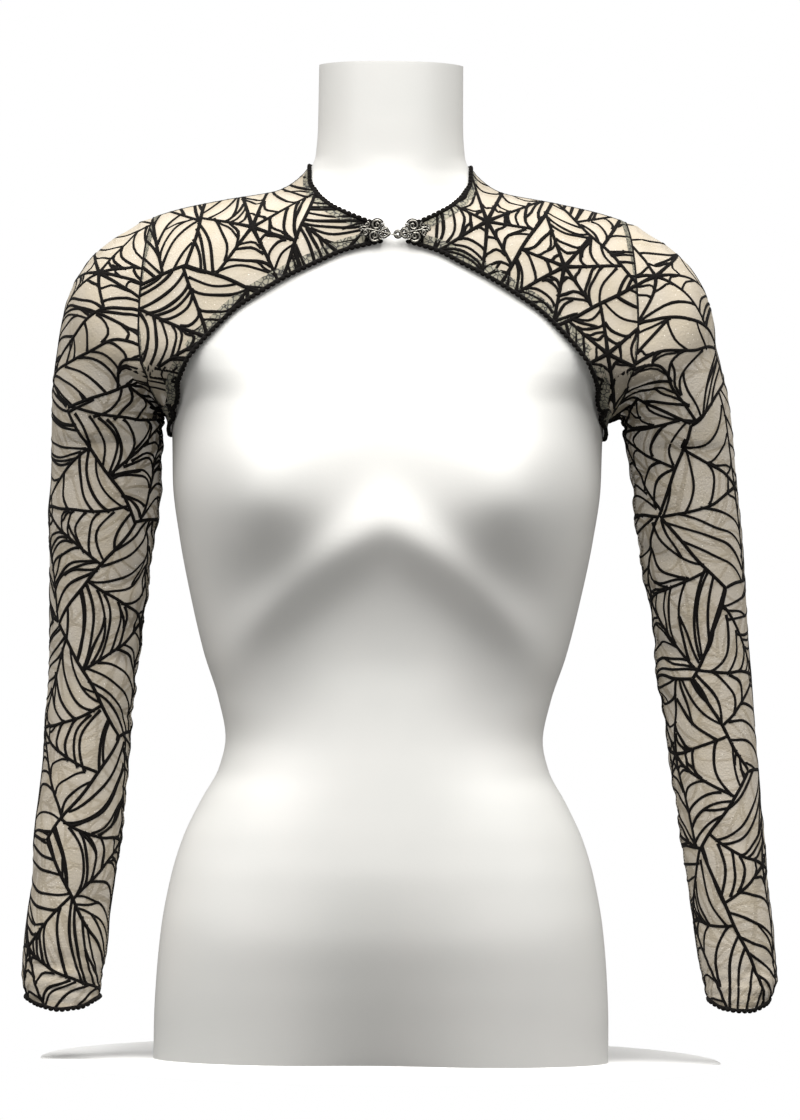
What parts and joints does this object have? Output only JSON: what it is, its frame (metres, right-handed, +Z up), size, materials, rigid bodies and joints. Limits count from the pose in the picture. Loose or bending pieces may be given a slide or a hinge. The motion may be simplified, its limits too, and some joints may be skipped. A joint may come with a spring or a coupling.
{
  "type": "bolero jacket on a dress form",
  "caption": "Sheer long-sleeved cropped jacket with raised web lines, picot edging and a front clasp, worn by a limbless torso form.",
  "frame": {"origin": "on the floor under the form's middle, between its sides and on its shoulders' centre plane", "axes": "+Z up through the neck, -Y the way the form faces, +X the wearer's left"},
  "size_m": [0.5782, 0.234, 0.763],
  "materials": {
    "form_white": "smooth white gloss",
    "net_beige": "sheer stretch net with black raised web lines",
    "edging_black": "matt black picot elastic",
    "clasp_silver": "antique silver, darkened in the hollows"
  },
  "bodies": {
    "root": {"dress_form": "form_white", "front_right": "net_beige", "front_left": "net_beige", "back": "net_beige", "sleeve_right": "net_beige", "sleeve_left": "net_beige", "neck_trim": "edging_black", "hem_trim": "edging_black", "cuff_trim_right": "edging_black", "cuff_trim_left": "edging_black", "clasp_right": "clasp_silver", "clasp_left": "clasp_silver"}
  },
  "joints": []
}
